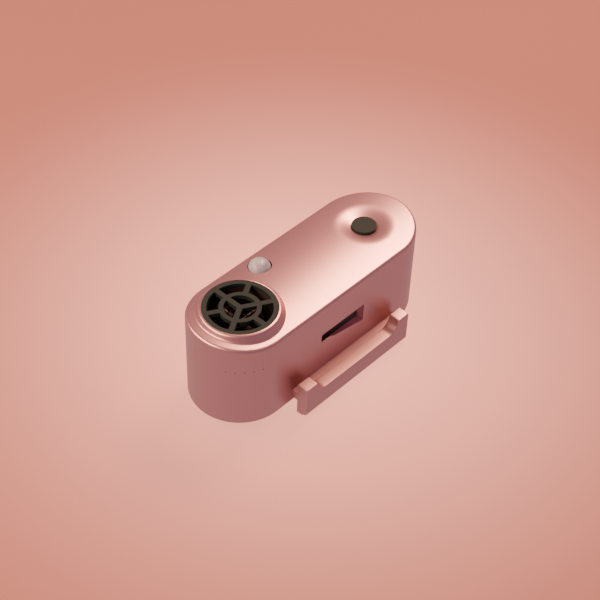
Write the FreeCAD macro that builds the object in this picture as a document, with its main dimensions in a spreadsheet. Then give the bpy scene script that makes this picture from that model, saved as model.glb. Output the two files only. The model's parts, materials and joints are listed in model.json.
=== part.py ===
# Cordless travel blower: a stadium-shaped housing with a round outlet on a raised turret at one
# end, a push button in a shallow dish at the other, a domed motion sensor beside the outlet, a
# recessed charging slot and a hook bracket on the front wall.
# Millimetres, +Z up, X along the housing with the outlet at -X, the bracket on the -Y side.
# The origin is on the surface it stands on, below the middle of the whole, bracket included.
# Every piece is drawn about the housing's own middle and then moved by the place "centring".
import FreeCAD, Part
import math
import os
import re
import Sketcher

# ---------------------------------------------------------------- driving dimensions
# Each size that can be set by itself: name, value in mm (or a count or degrees), meaning.
SIZES = (
    # housing
    ("half_width", "25", "half the housing's width, and the radius of its round ends"),
    ("end_reach", "11.15", "from the cells' half length to the centre of each round end"),
    ("body_height", "47.5", "from the lower rim to the straight upper edge"),
    ("crown_radius", "134", "radius of the top's curve across the width"),
    ("wall", "2.2", "side wall"),
    ("top_thickness", "2.4", "top, at its straight edges"),
    ("top_round", "1.0", "rounding of the upper edge"),
    ("base_round", "1.4", "rounding of the lower rim"),
    ("fit_gap", "0.15", "gap between pieces that slip together"),
    # turret and outlet grille
    ("turret_inset", "0.45", "turret axis, inwards from the centre of its round end"),
    ("turret_foot", "21.6", "turret radius at the straight upper edge's height"),
    ("turret_rim", "19.2", "turret radius at its shoulder"),
    ("turret_rise", "4.8", "turret above the straight upper edge"),
    ("rim_drop", "0.6", "height of the rim's slanted face"),
    ("rim_land", "0.3", "flat ring between the slanted rim and the grille"),
    ("grille_radius", "17.8", "outlet grille"),
    ("grille_thickness", "2.2", "outlet grille"),
    ("grille_sink", "0.2", "grille below the rim"),
    ("grille_border", "2.4", "width of the grille's outer ring"),
    ("grille_ring", "8.8", "mean radius of the inner ring"),
    ("grille_bar", "2.3", "width of the inner ring"),
    ("spoke_width", "2.6", "width of the spokes"),
    ("spoke_count", "6", "outer spokes"),
    ("hub_spoke_count", "3", "inner spokes"),
    # air path
    ("duct_bore", "15.6", "heater duct, inner radius"),
    ("duct_wall", "1.4", "heater duct and fan frame wall"),
    ("duct_height", "12", "heater duct"),
    ("mica_thickness", "0.8", "heater plates"),
    ("mica_height", "8.4", "heater plates"),
    ("mica_drop", "1.6", "heater plates below the duct's top"),
    ("coil_count", "4", "heating rings on each side"),
    ("coil_first", "4.4", "radius of the smallest heating ring"),
    ("coil_step", "3.2", "from one heating ring to the next"),
    ("coil_wire", "0.4", "radius of the heating wire"),
    ("fan_height", "14", "fan frame"),
    ("fan_wall", "1.6", "fan frame"),
    ("spider_thickness", "1.8", "fan's base plate and struts"),
    ("spider_radius", "7.4", "fan's base plate"),
    ("strut_width", "2.6", "fan struts"),
    ("strut_count", "3", "fan struts and lugs"),
    ("lug_radius", "2.5", "fan lugs and bosses"),
    ("lug_height", "3", "fan lugs"),
    ("shaft_radius", "1.0", "fan shaft"),
    ("running_gap", "0.03", "radial clearance of the shaft in its bearings"),
    ("bearing_radius", "2.5", "fan bearings, outside"),
    ("bearing_height", "2.2", "fan bearings"),
    ("tube_wall", "0.9", "bearing tube"),
    ("hub_radius", "7.2", "rotor hub"),
    ("hub_wall", "0.9", "rotor hub"),
    ("hub_height", "9.6", "rotor hub"),
    ("hub_lift", "0.8", "rotor hub above the base plate"),
    ("spigot_height", "1.1", "rotor hub's seat on the shaft, under its top"),
    ("magnet_wall", "0.7", "magnet ring"),
    ("magnet_height", "6.4", "magnet ring"),
    ("stator_gap", "0.4", "air gap between stator and magnet ring"),
    ("stator_height", "4.6", "stator"),
    ("blade_count", "7", "rotor blades"),
    ("blade_chord", "8.4", "blade width around the hub"),
    ("blade_thickness", "1.0", "blade"),
    ("blade_reach", "14.0", "blade tip from the fan's axis"),
    ("intake_count", "12", "intake slots"),
    ("intake_inner", "4.5", "intake slots, inner end"),
    ("intake_outer", "12", "intake slots, outer end"),
    ("intake_width", "1.8", "intake slots"),
    ("filter_radius", "13.6", "dust filter"),
    ("filter_thickness", "0.8", "dust filter"),
    ("filter_bar", "0.8", "width of the filter's bars"),
    ("filter_pitch", "2.6", "from one filter bar to the next"),
    # button
    ("button_x", "42.5", "button axis, towards +X"),
    ("button_radius", "6.25", "button cap"),
    ("button_rise", "1.6", "cap above the dish's floor"),
    ("button_flange", "1.1", "width of the cap's flange"),
    ("flange_thickness", "1.2", "cap's flange"),
    ("button_travel", "1.0", "travel of the button"),
    ("dish_radius", "13", "rim of the dish, before it is rounded"),
    ("dish_depth", "2.35", "dish below the top's ridge"),
    ("dish_round", "9", "rounding of the dish's rim"),
    ("spring_wire", "0.22", "radius of the return spring's wire"),
    ("spring_radius", "5.6", "return spring, to the middle of the wire"),
    ("spring_turns", "4", "return spring"),
    ("switch_side", "7", "push switch body"),
    ("switch_height", "3.2", "push switch body"),
    ("plunger_radius", "1.6", "switch plunger"),
    ("plunger_depth", "1.8", "plunger inside the switch body at rest"),
    # motion sensor
    ("lens_x", "14.6", "sensor lens axis, towards -X"),
    ("lens_y", "15.4", "sensor lens axis, towards +Y"),
    ("lens_radius", "5.2", "sensor lens"),
    ("lens_sink", "1.0", "centre of the dome below the surface round it"),
    ("lens_wall", "0.8", "sensor lens"),
    ("lens_flange", "1.2", "width and thickness of the lens flange"),
    ("shroud_wall", "1.2", "sensor shroud"),
    ("can_radius", "3.2", "sensor can"),
    ("can_height", "4.2", "sensor can"),
    # charging slot
    ("slot_x", "0.8", "slot's middle, towards +X"),
    ("slot_z", "30.2", "slot's middle, above the ground"),
    ("slot_length", "29.8", "slot"),
    ("slot_height", "10.7", "slot"),
    ("slot_round", "1.0", "slot's corners"),
    ("slot_lip", "2.0", "lip behind the slot"),
    ("lip_wall", "1.2", "lip behind the slot"),
    ("panel_thickness", "1.4", "port panel"),
    ("port_width", "8.94", "charging socket"),
    ("port_height", "3.26", "charging socket"),
    ("port_depth", "7.4", "charging socket"),
    ("port_wall", "0.3", "charging socket's shell"),
    ("tongue_height", "0.7", "charging socket's tongue"),
    # hook bracket
    ("bracket_x", "3.4", "bracket's middle, towards +X"),
    ("bracket_length", "73.4", "bracket"),
    ("plate_thickness", "6.35", "bracket plate"),
    ("plate_height", "13.1", "bracket plate, from the ground to the bar's top"),
    ("arm_reach", "3.2", "hook gap between the wall and the plate"),
    ("arm_height", "5.0", "arm between the wall and the plate"),
    ("ear_width", "7.6", "ears at the plate's ends"),
    ("ear_rise", "6.4", "ears above the bar"),
    ("heel_height", "2.2", "slanted lower front edge"),
    ("heel_depth", "3.6", "slanted lower front edge"),
    ("bracket_edge", "0.5", "bevel along the bracket's edges"),
    # feet and base cover
    ("foot_height", "5.2", "ground to the lower rim"),
    ("foot_radius", "3.2", "feet"),
    ("foot_recess", "1.0", "feet sunk in the base cover"),
    ("foot_near", "52", "feet under the outlet, towards -X"),
    ("foot_far", "46", "feet under the button, towards +X"),
    ("foot_side", "13", "feet, to either side"),
    ("cover_thickness", "2.6", "base cover"),
    # screws
    ("screw_radius", "1.0", "screw shanks"),
    ("head_radius", "1.9", "screw heads"),
    ("head_height", "1.3", "screw heads"),
    ("socket_radius", "0.8", "hex socket in each screw head"),
    ("socket_depth", "0.7", "hex socket in each screw head"),
    ("hole_gap", "0.2", "screw clearance in the piece it passes through"),
    ("thread_gap", "0.04", "screw clearance in the boss that holds it"),
    ("boss_radius", "2.5", "base cover's bosses"),
    ("base_screw_length", "9", "base cover screws"),
    ("short_screw_length", "5", "board, bracket and cradle screws"),
    ("boss_near_gap", "0.6", "between the cradle and the bosses towards -X"),
    ("boss_near_y", "19.0", "bosses towards -X, to either side"),
    ("boss_far_gap", "5.1", "between the cradle and the bosses towards +X"),
    ("boss_far_y", "11", "bosses towards +X, to either side"),
    # batteries and boards
    ("cell_radius", "9.2", "battery cells"),
    ("cell_length", "65", "battery cells"),
    ("cell_gap", "0.6", "between the two cells"),
    ("cell_x", "12.6", "middle of the cells, towards +X"),
    ("cell_slack", "0.1", "cells in their cradle"),
    ("strap_thickness", "0.3", "cell straps"),
    ("strap_width", "7", "cell straps"),
    ("cradle_wall", "4", "cradle's end walls"),
    ("cradle_floor", "0.8", "cradle under the cells"),
    ("board_thickness", "1.2", "circuit boards"),
    ("power_board_back", "18", "power board's back edge, towards +Y"),
    ("chip_side", "7", "packages on the power board"),
    ("chip_height", "1.2", "charger and motor driver packages"),
    ("choke_height", "3.2", "choke package"),
    ("tank_height", "5.0", "capacitor package"),
    ("board_drop", "5.8", "control board below the ceiling"),
    ("board_near", "21.5", "control board's end towards -X"),
    ("board_far", "50", "control board's end towards +X"),
    ("board_front", "9", "control board's edge towards -Y"),
    ("board_back", "21.4", "control board's edge towards +Y"),
    # indicator lights
    ("light_count", "5", "indicator lights"),
    ("light_step_angle", "10", "degrees between the lights"),
    ("light_angle", "50.5", "degrees from -X to the middle light, towards -Y"),
    ("light_z", "40.1", "indicator lights above the ground"),
    ("light_radius", "0.45", "light pipes"),
    ("light_foot", "1.0", "light pipes' inner heads"),
    ("strip_gap", "1.3", "from the wall to the light strip"),
    ("strip_thickness", "0.5", "light strip"),
    ("strip_height", "5", "light strip"),
)
NAMES = {name for name, _, _ in SIZES}

# Places worked out from the sizes, by name.
PLACES = {
    "centring": "(plate_front - half_width) / 2",
    "end_offset": "cell_length / 2 + end_reach",
    "turret_x": "end_offset - turret_inset",
    "rim_base": "foot_height",
    "edge_z": "foot_height + body_height",
    "ceiling_z": "edge_z - top_thickness",
    "crown_z": "edge_z + crown_radius - sqrt(crown_radius^2 - half_width^2)",
    "inner_half": "half_width - wall",
    "cover_z": "rim_base + cover_thickness",
    "rim_z": "edge_z + turret_rise",
    "grille_top": "rim_z - grille_sink",
    "grille_z": "grille_top - grille_thickness",
    "duct_outer": "duct_bore + duct_wall",
    "duct_z": "ceiling_z - duct_height",
    "mica_top": "ceiling_z - mica_drop",
    "mica_low": "mica_top - mica_height",
    "lug_reach": "duct_outer + lug_radius + fit_gap",
    "fan_z": "duct_z - fan_height",
    "fan_bore": "duct_outer - fan_wall",
    "spider_z": "fan_z + spider_thickness",
    "tube_radius": "bearing_radius + tube_wall",
    "hub_z": "spider_z + hub_lift",
    "hub_top": "hub_z + hub_height",
    "spigot_z": "hub_top - hub_wall - spigot_height",
    "tube_z": "spigot_z - stator_gap",
    "magnet_outer": "hub_radius - hub_wall",
    "magnet_inner": "magnet_outer - magnet_wall",
    "dish_z": "crown_z - dish_depth",
    "button_top": "dish_z + button_rise",
    "button_low": "ceiling_z - fit_gap - flange_thickness",
    "board_top": "ceiling_z - board_drop",
    "board_low": "board_top - board_thickness",
    "switch_top": "board_top + switch_height",
    "lens_z": "crown_z - crown_radius + sqrt(crown_radius^2 - lens_y^2) - lens_sink",
    "lens_low": "ceiling_z - lens_flange",
    "shroud_inner": "lens_radius - lens_wall + fit_gap",
    "slot_back": "inner_half - slot_lip",
    "bracket_low_x": "bracket_x - bracket_length / 2",
    "bracket_high_x": "bracket_x + bracket_length / 2",
    "ear_z": "plate_height + ear_rise",
    "plate_y": "half_width + arm_reach",
    "plate_front": "plate_y + plate_thickness",
    "cell_z": "cover_z + cradle_floor + cell_radius + cell_slack",
    "cell_y": "cell_radius + cell_gap / 2",
    "cell_end": "cell_length / 2 + strap_thickness",
    "cradle_near": "cell_x - cell_end - cradle_wall",
    "cradle_far": "cell_x + cell_end + cradle_wall",
    "cradle_half": "cell_y + cell_radius + cell_slack + 0.5",
    "power_top": "slot_z - port_height / 2",
    "power_low": "power_top - board_thickness",
    "power_front": "slot_back - panel_thickness - fit_gap",
    "port_front": "slot_back",
    "strip_outer": "inner_half - strip_gap",
}
WORD = re.compile(r"[a-z][a-z_0-9]*")
UP = FreeCAD.Vector(0, 0, 1)

doc = FreeCAD.newDocument("travel_blower")
sheet = doc.addObject("Spreadsheet::Sheet", "sizes")
for row, (name, number, meaning) in enumerate(SIZES, start=1):
    sheet.set(f"A{row}", name)
    sheet.set(f"B{row}", number)
    sheet.set(f"C{row}", meaning)
    sheet.setAlias(f"B{row}", name)
doc.recompute()


# ---------------------------------------------------------------- formulas and sketches
def expr(text):
    """A formula over the sheet's cells, with the named places written out."""
    def spell(match):
        word = match.group(0)
        if word in PLACES:
            return "(" + expr(PLACES[word]) + ")"
        return "sizes." + word if word in NAMES else word
    return WORD.sub(spell, str(text))


def value(text):
    """The number that a formula gives now."""
    return float(sheet.evalExpression(expr(text)))


def bind(item, **formulas):
    """Bind properties to formulas; a double underscore in a name stands for a dot."""
    for name, text in formulas.items():
        item.setExpression(name.replace("__", "."), expr(text))
    return item


def new_body(label):
    body = doc.addObject("PartDesign::Body", label)
    body.Label = label
    return body


def sketch(body, name, plane="XY", at=("0", "0"), level="0"):
    """A sketch on an origin plane of its body, shifted to a place and a level."""
    item = body.newObject("Sketcher::SketchObject", name)
    face = next(o for o in body.Origin.OriginFeatures if o.Role == plane + "_Plane")
    item.AttachmentSupport = [(face, "")]
    item.MapMode = "FlatFace"
    for axis, place in zip("xyz", (*at, level)):
        item.setExpression("AttachmentOffset.Base." + axis, expr(place))
    return item


def hold(item, kind, geometry, size):
    """A sketch dimension bound to a formula."""
    index = item.addConstraint(Sketcher.Constraint(kind, *geometry, value(size)))
    item.setExpression(f"Constraints[{index}]", expr(size))


def pin(item, index, point, x, y):
    """Hold a sketch point at a place."""
    for kind, axis, place in (("DistanceX", -2, x), ("DistanceY", -1, y)):
        if str(place) == "0":
            item.addConstraint(Sketcher.Constraint("PointOnObject", index, point, axis))
        else:
            hold(item, kind, (-1, 1, index, point), place)


def circle(item, radius, x="0", y="0"):
    shape = Part.Circle(FreeCAD.Vector(value(x), value(y), 0), UP, value(radius))
    index = item.addGeometry(shape, False)
    hold(item, "Radius", (index,), radius)
    pin(item, index, 3, x, y)


def outline(item, points):
    """A closed outline of straight lines through places."""
    first = item.GeometryCount
    count = len(points)
    places = [FreeCAD.Vector(value(x), value(y), 0) for x, y in points]
    for i in range(count):
        item.addGeometry(Part.LineSegment(places[i], places[(i + 1) % count]), False)
    for i in range(count):
        after = first + (i + 1) % count
        item.addConstraint(Sketcher.Constraint("Coincident", first + i, 2, after, 1))
    for i, (x, y) in enumerate(points):
        pin(item, first + i, 1, x, y)


def rectangle(item, x0, x1, y0, y1):
    outline(item, ((x0, y0), (x1, y0), (x1, y1), (x0, y1)))


def stadium(item, radius, offset):
    """Two half circles joined by straight lines, along the sketch's X."""
    r, c = value(radius), value(offset)
    right = item.addGeometry(Part.ArcOfCircle(
        Part.Circle(FreeCAD.Vector(c, 0, 0), UP, r), -math.pi / 2, math.pi / 2), False)
    left = item.addGeometry(Part.ArcOfCircle(
        Part.Circle(FreeCAD.Vector(-c, 0, 0), UP, r), math.pi / 2, 3 * math.pi / 2), False)
    back = item.addGeometry(Part.LineSegment(
        FreeCAD.Vector(c, r, 0), FreeCAD.Vector(-c, r, 0)), False)
    front = item.addGeometry(Part.LineSegment(
        FreeCAD.Vector(-c, -r, 0), FreeCAD.Vector(c, -r, 0)), False)
    ring = (right, back, left, front)
    for one, other in zip(ring, ring[1:] + ring[:1]):
        item.addConstraint(Sketcher.Constraint("Tangent", one, 2, other, 1))
    item.addConstraint(Sketcher.Constraint("Equal", right, left))
    hold(item, "Radius", (right,), radius)
    pin(item, right, 3, offset, "0")
    pin(item, left, 3, f"-({offset})", "0")


# ---------------------------------------------------------------- features
def pad(body, name, profile, length, back=False):
    item = body.newObject("PartDesign::Pad", name)
    item.Profile = profile
    item.Reversed = back
    return bind(item, Length=length)


def pocket(body, name, profile, depth=None, onward=False):
    """A cut against the sketch's normal, or onward along it; right through without a depth."""
    item = body.newObject("PartDesign::Pocket", name)
    item.Profile = profile
    item.Reversed = onward
    if depth is None:
        item.Type = "ThroughAll"
        return item
    return bind(item, Length=depth)


def turn(body, name, profile, cut=False):
    """A full turn about the sketch's own vertical axis, added or cut."""
    kind = "PartDesign::Groove" if cut else "PartDesign::Revolution"
    item = body.newObject(kind, name)
    item.Profile = profile
    item.ReferenceAxis = (profile, ["V_Axis"])
    item.Angle = 360
    return item


def around(body, name, feature, profile, axis, count):
    """Repeat a feature in a full circle about an axis of its sketch."""
    item = body.newObject("PartDesign::PolarPattern", name)
    item.Originals = [feature]
    item.Axis = (profile, [axis])
    item.Angle = 360
    bind(item, Occurrences=count)
    body.Tip = item
    return item


def edges_where(feature, test):
    """Names of the edges whose middle and ends pass a test."""
    names = []
    for i, edge in enumerate(feature.Shape.Edges, start=1):
        middle = edge.valueAt((edge.FirstParameter + edge.LastParameter) / 2)
        if test([middle] + [v.Point for v in edge.Vertexes]):
            names.append(f"Edge{i}")
    return names


def dress(body, kind, name, feature, test, size):
    """A fillet or chamfer on the edges that pass a test."""
    doc.recompute()
    item = body.newObject("PartDesign::" + kind, name)
    item.Base = (feature, edges_where(feature, test))
    return bind(item, **{"Radius" if kind == "Fillet" else "Size": size})


def near(a, b, slack=0.02):
    return abs(a - b) < slack


# ---------------------------------------------------------------- primitives
def cylinder(name, radius, low, high, x="0", y="0"):
    item = doc.addObject("Part::Cylinder", name)
    bind(item, Radius=radius, Height=f"({high}) - ({low})", Placement__Base__x=x,
         Placement__Base__y=y, Placement__Base__z=low)
    return item


def box(name, x0, x1, y0, y1, z0, z1):
    item = doc.addObject("Part::Box", name)
    bind(item, Length=f"({x1}) - ({x0})", Width=f"({y1}) - ({y0})", Height=f"({z1}) - ({z0})",
         Placement__Base__x=x0, Placement__Base__y=y0, Placement__Base__z=z0)
    return item


def join(label, pieces):
    item = doc.addObject("Part::MultiFuse", label)
    item.Shapes = pieces
    item.Label = label
    return item


def carve(label, base, tools):
    """The base less its tools."""
    item = doc.addObject("Part::Cut", label)
    item.Base = base
    item.Tool = tools[0] if len(tools) == 1 else join(label + "_tools", tools)
    item.Label = label
    return item


def group(label, pieces):
    """Identical separate solids kept together."""
    item = doc.addObject("Part::Compound", label)
    item.Links = pieces
    item.Label = label
    return item


def screw(name, length, x, y, z, toward=UP):
    """A pan-head screw: its head ends at the place given, its shank runs on from there."""
    shank = cylinder(name + "_shank", "screw_radius", "0", length)
    head = cylinder(name + "_head", "head_radius", "-head_height", "0")
    socket = doc.addObject("Part::Prism", name + "_socket")
    socket.Polygon = 6
    bind(socket, Circumradius="socket_radius", Height="socket_depth",
         Placement__Base__z="-head_height")
    item = carve(name, join(name + "_solid", [head, shank]), [socket])
    item.Placement = FreeCAD.Placement(FreeCAD.Vector(), FreeCAD.Rotation(UP, toward))
    bind(item, Placement__Base__x=x, Placement__Base__y=y, Placement__Base__z=z)
    return item


TURRET = "-turret_x"
NEAR_BOSS_X = "cradle_near - boss_near_gap - boss_radius"
FAR_BOSS_X = "cradle_far + boss_far_gap + boss_radius"
BASE_BOSSES = ((NEAR_BOSS_X, "boss_near_y"), (NEAR_BOSS_X, "-boss_near_y"),
               (FAR_BOSS_X, "boss_far_y"), (FAR_BOSS_X, "-boss_far_y"))
BOARD_BOSSES = (("-(board_near - 3)", "-(board_front - 3)"), ("-1", "board_back - 4"),
                ("button_x - 14", "-(board_front - 3)"), ("button_x - 14", "board_back - 4"))
BRACKET_SCREWS = ("bracket_x - bracket_length / 3", "bracket_x", "bracket_x + bracket_length / 3")
CRADLE_SCREWS = ("cradle_near + cradle_wall / 2", "cradle_far - cradle_wall / 2")
POWER_SCREWS = tuple((x, y) for x in CRADLE_SCREWS
                     for y in ("-(power_front - 4)", "power_board_back - 4"))


def fan_lugs():
    """Places of the fan's lugs, evenly round its axis, one of them on the -X side."""
    for k in range(round(value("strut_count"))):
        angle = f"(180 + 360 / strut_count * {k})"
        yield f"-turret_x + lug_reach * cos{angle}", f"lug_reach * sin{angle}"


# ---------------------------------------------------------------- housing
def housing_shell():
    """One moulding: crowned top with turret, dish, sensor hole and slot, and all its bosses."""
    body = new_body("housing_shell")
    block = sketch(body, "shell_outline", level="rim_base")
    stadium(block, "half_width", "end_offset")
    pad(body, "shell_block", block, "crown_z + 1 - rim_base")

    # the top is part of a cylinder that lies along X
    crown = sketch(body, "crown_profile", "YZ")
    reach = "(half_width + 2)"
    r, c = value("crown_radius"), value("crown_z - crown_radius")
    half = math.asin(value(reach) / r)
    arc = crown.addGeometry(Part.ArcOfCircle(
        Part.Circle(FreeCAD.Vector(0, c, 0), UP, r), math.pi / 2 - half, math.pi / 2 + half))
    ends = [crown.getPoint(arc, 1), crown.getPoint(arc, 2)]
    top = value("crown_z + 3")
    corners = [FreeCAD.Vector(p.x, top, 0) for p in ends]
    left = crown.addGeometry(Part.LineSegment(ends[1], corners[1]))
    lid = crown.addGeometry(Part.LineSegment(corners[1], corners[0]))
    right = crown.addGeometry(Part.LineSegment(corners[0], ends[0]))
    for one, a, other, b in ((arc, 2, left, 1), (left, 2, lid, 1), (lid, 2, right, 1),
                             (right, 2, arc, 1)):
        crown.addConstraint(Sketcher.Constraint("Coincident", one, a, other, b))
    for kind, line in (("Vertical", left), ("Horizontal", lid), ("Vertical", right)):
        crown.addConstraint(Sketcher.Constraint(kind, line))
    hold(crown, "Radius", (arc,), "crown_radius")
    pin(crown, arc, 3, "0", "crown_z - crown_radius")
    hold(crown, "DistanceX", (-1, 1, arc, 1), reach)
    hold(crown, "DistanceX", (arc, 2, -1, 1), reach)
    hold(crown, "DistanceY", (-1, 1, lid, 1), "crown_z + 3")
    cut = pocket(body, "crown", crown)
    cut.Midplane = True

    low, high = value("rim_base"), value("edge_z")
    rounded = dress(body, "Fillet", "upper_edge", cut,
                    lambda points: all(p.z > high - 0.05 for p in points), "top_round")
    rounded = dress(body, "Fillet", "lower_edge", rounded,
                    lambda points: all(near(p.z, low) for p in points), "base_round")

    # dish round the button: a ball's cap, with a softened rim
    dish = sketch(body, "dish_profile", "XZ", at=("button_x", "0"))
    ball = "((dish_radius^2 + dish_depth^2) / (2 * dish_depth))"
    radius, centre = value(ball), value(f"dish_z + {ball}")
    arc = dish.addGeometry(Part.ArcOfCircle(
        Part.Circle(FreeCAD.Vector(0, centre, 0), UP, radius), -math.pi / 2, 0))
    stem = dish.addGeometry(Part.LineSegment(
        FreeCAD.Vector(0, centre, 0), FreeCAD.Vector(0, centre - radius, 0)))
    lid = dish.addGeometry(Part.LineSegment(
        FreeCAD.Vector(radius, centre, 0), FreeCAD.Vector(0, centre, 0)))
    for one, a, other, b in ((stem, 2, arc, 1), (arc, 2, lid, 1), (lid, 2, stem, 1)):
        dish.addConstraint(Sketcher.Constraint("Coincident", one, a, other, b))
    dish.addConstraint(Sketcher.Constraint("Coincident", arc, 3, stem, 1))
    dish.addConstraint(Sketcher.Constraint("Vertical", stem))
    dish.addConstraint(Sketcher.Constraint("Horizontal", lid))
    hold(dish, "Radius", (arc,), ball)
    pin(dish, arc, 3, "0", f"dish_z + {ball}")
    hollow = turn(body, "dish", dish, cut=True)
    button_x, rim = value("button_x"), value("dish_radius")

    def on_dish(points):
        return all(near(math.hypot(p.x - button_x, p.y), rim, 3) and p.z > high
                   for p in points)
    dress(body, "Fillet", "dish_rim", hollow, on_dish, "dish_round")

    # turret: a shallow cone with a narrow slanted rim
    turret = sketch(body, "turret_profile", "XZ", at=(TURRET, "0"))
    outline(turret, (("0", "ceiling_z"), ("turret_foot", "ceiling_z"), ("turret_foot", "edge_z"),
                     ("turret_rim", "rim_z - rim_drop"),
                     ("grille_radius + fit_gap + rim_land", "rim_z"), ("0", "rim_z")))
    turn(body, "turret", turret)

    cavity = sketch(body, "cavity_outline", level="rim_base")
    stadium(cavity, "inner_half", "end_offset")
    pocket(body, "cavity", cavity, "ceiling_z - rim_base", onward=True)

    # openings in the top
    mouth = sketch(body, "outlet_circle", at=(TURRET, "0"), level="rim_z")
    circle(mouth, "duct_bore")
    pocket(body, "outlet", mouth, "rim_z - rim_base")
    seat = sketch(body, "grille_seat_circle", at=(TURRET, "0"), level="rim_z")
    circle(seat, "grille_radius + fit_gap / 3")
    pocket(body, "grille_seat", seat, "rim_z - grille_z")
    holes = sketch(body, "top_holes", level="crown_z")
    circle(holes, "button_radius + fit_gap", "button_x", "0")
    circle(holes, "lens_radius + fit_gap", "-lens_x", "lens_y")
    pocket(body, "button_and_lens_holes", holes, "crown_z - rim_base")

    # slot in the front wall, with a lip behind it
    lip = sketch(body, "lip_outline", "XZ", level="slot_back")
    wide, tall = "(slot_length / 2 + lip_wall)", "(slot_height / 2 + lip_wall)"
    rectangle(lip, f"slot_x - {wide}", f"slot_x + {wide}", f"slot_z - {tall}", f"slot_z + {tall}")
    pad(body, "slot_lip_block", lip, "slot_lip + wall / 2")
    slot = sketch(body, "slot_outline", "XZ", level="slot_back - 1")
    rectangle(slot, "slot_x - slot_length / 2", "slot_x + slot_length / 2",
              "slot_z - slot_height / 2", "slot_z + slot_height / 2")
    opening = pocket(body, "slot", slot, onward=True)
    ends = [value(f"slot_x {s} slot_length / 2") for s in "+-"]
    sides = [value(f"slot_z {s} slot_height / 2") for s in "+-"]

    def slot_corner(points):
        return all(any(near(p.x, e) for e in ends) and any(near(p.z, s) for s in sides)
                   for p in points)
    dress(body, "Fillet", "slot_corners", opening, slot_corner, "slot_round")

    # bosses that hang from the ceiling, and their pilot holes
    for name, places, size, low in (
            ("base_bosses", BASE_BOSSES, "boss_radius", "cover_z"),
            ("fan_bosses", tuple(fan_lugs()), "lug_radius", "duct_z"),
            ("board_bosses", BOARD_BOSSES, "boss_radius", "board_top")):
        circles = sketch(body, name + "_circles", level=low)
        for x, y in places:
            circle(circles, size, x, y)
        pad(body, name, circles, f"ceiling_z - ({low})")
        pilots = sketch(body, name + "_pilot_circles", level=low)
        for x, y in places:
            circle(pilots, "screw_radius + thread_gap", x, y)
        depth = "base_screw_length" if name != "board_bosses" else "short_screw_length"
        pocket(body, name + "_pilots", pilots, f"{depth}", onward=True)

    # bracket screws pass through the front wall
    wall_holes = sketch(body, "bracket_holes", "XZ", level="inner_half - 0.5")
    for x in BRACKET_SCREWS:
        circle(wall_holes, "screw_radius + hole_gap", x, "plate_height - arm_height / 2")
    pocket(body, "bracket_screw_holes", wall_holes, onward=True)

    # indicator holes through the round end
    for i, angle in enumerate(light_angles()):
        hole = body.newObject("PartDesign::SubtractiveCylinder", f"light_hole_{i + 1}")
        hole.Placement = radial(angle, "inner_half - 1")
        bind(hole, Radius="light_radius", Height="wall + 2")
    return body


def light_angles():
    count = round(value("light_count"))
    middle = 180 + value("light_angle")
    return [middle + value("light_step_angle") * (i - (count - 1) / 2) for i in range(count)]


def radial(angle, radius):
    """A placement whose Z points outward from the near round end's axis, at the lights' height."""
    out = FreeCAD.Vector(math.cos(math.radians(angle)), math.sin(math.radians(angle)), 0)
    centre = FreeCAD.Vector(-value("end_offset"), 0, value("light_z"))
    return FreeCAD.Placement(centre + out * value(radius), FreeCAD.Rotation(UP, out))


def base_cover():
    """The plate that closes the housing from below, with the air intake under the fan."""
    body = new_body("base_cover")
    plan = sketch(body, "cover_outline", level="rim_base")
    stadium(plan, "inner_half - fit_gap", "end_offset")
    pad(body, "cover_plate", plan, "cover_thickness")
    recess = sketch(body, "foot_recesses", level="rim_base")
    for x, y in foot_places():
        circle(recess, "foot_radius + fit_gap / 3", x, y)
    pocket(body, "foot_seats", recess, "foot_recess", onward=True)
    screws = BASE_BOSSES + tuple((x, "0") for x in CRADLE_SCREWS)
    for name, size, depth in (("screw_holes", "screw_radius + hole_gap", "cover_thickness"),
                              ("screw_seats", "head_radius + hole_gap", "head_height")):
        circles = sketch(body, name + "_circles", level="rim_base")
        for x, y in screws:
            circle(circles, size, x, y)
        pocket(body, name, circles, depth, onward=True)
    slot = sketch(body, "intake_outline", at=(TURRET, "0"), level="rim_base")
    rectangle(slot, "-intake_width / 2", "intake_width / 2", "intake_inner", "intake_outer")
    first = pocket(body, "intake_slot", slot, "cover_thickness", onward=True)
    around(body, "intake_slots", first, slot, "N_Axis", "intake_count")
    return body


def foot_places():
    return [(x, y) for x in ("-foot_near", "foot_far") for y in ("foot_side", "-foot_side")]


def rubber_feet():
    return group("rubber_feet", [
        cylinder(f"foot_{i + 1}", "foot_radius", "0", "rim_base + foot_recess", x, y)
        for i, (x, y) in enumerate(foot_places())])


def outlet_grille():
    """Two rings, six outer spokes, and three inner spokes that meet in the middle."""
    body = new_body("outlet_grille")
    for name, outer, inner in (
            ("grille_border_ring", "grille_radius", "grille_radius - grille_border"),
            ("grille_inner_ring", "grille_ring + grille_bar / 2", "grille_ring - grille_bar / 2")):
        rings = sketch(body, name + "_circles", at=(TURRET, "0"), level="grille_z")
        circle(rings, outer)
        circle(rings, inner)
        pad(body, name, rings, "grille_thickness")
        if name == "grille_border_ring":
            spoke = sketch(body, "outer_spoke_outline", at=(TURRET, "0"), level="grille_z")
            rectangle(spoke, "-spoke_width / 2", "spoke_width / 2",
                      "grille_ring - grille_bar / 4", "grille_radius - grille_border / 2")
            first = pad(body, "outer_spoke", spoke, "grille_thickness")
            around(body, "outer_spokes", first, spoke, "N_Axis", "spoke_count")
    spoke = sketch(body, "inner_spoke_outline", at=(TURRET, "0"), level="grille_z")
    rectangle(spoke, "-spoke_width / 2", "spoke_width / 2", "0", "grille_ring")
    first = pad(body, "inner_spoke", spoke, "grille_thickness")
    around(body, "inner_spokes", first, spoke, "N_Axis", "hub_spoke_count")
    return body


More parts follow.
